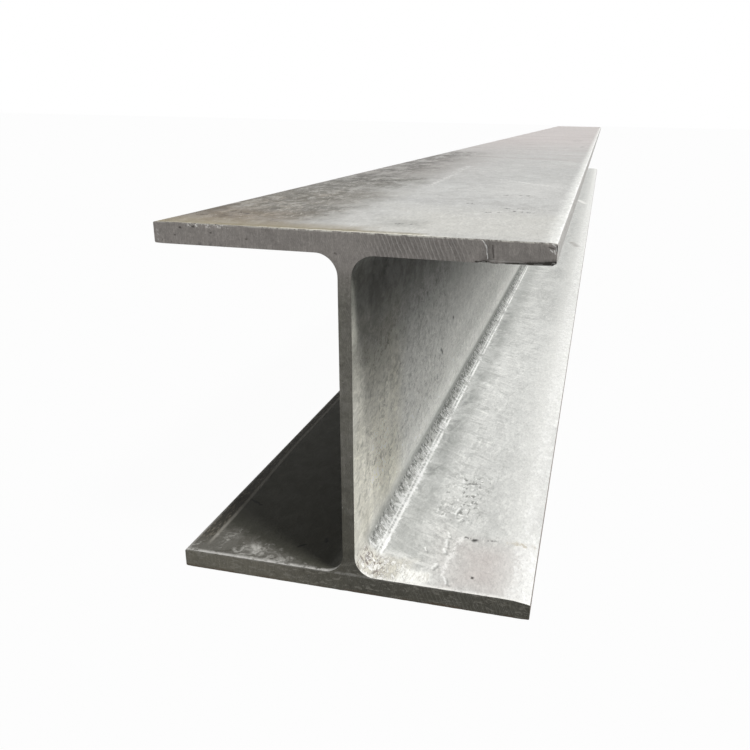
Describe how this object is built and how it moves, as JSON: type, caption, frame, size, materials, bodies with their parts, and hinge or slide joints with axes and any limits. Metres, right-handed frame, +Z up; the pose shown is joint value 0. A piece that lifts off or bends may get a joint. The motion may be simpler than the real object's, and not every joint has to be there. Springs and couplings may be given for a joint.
{
  "type": "steel H-beam",
  "caption": "Hot-rolled wide-flange steel beam with parallel flanges, rounded roots between web and flanges, and plain sawn ends.",
  "frame": {"origin": "on the lower flange's outer face, under the middle of the beam's length and width", "axes": "+Z up through the web's depth, Y along the beam's length with the near sawn end at -Y, X across the flanges"},
  "size_m": [0.35, 6, 0.35],
  "materials": {
    "mill_finish_steel": "matte"
  },
  "bodies": {
    "root": {"h_beam": "mill_finish_steel"}
  },
  "joints": []
}
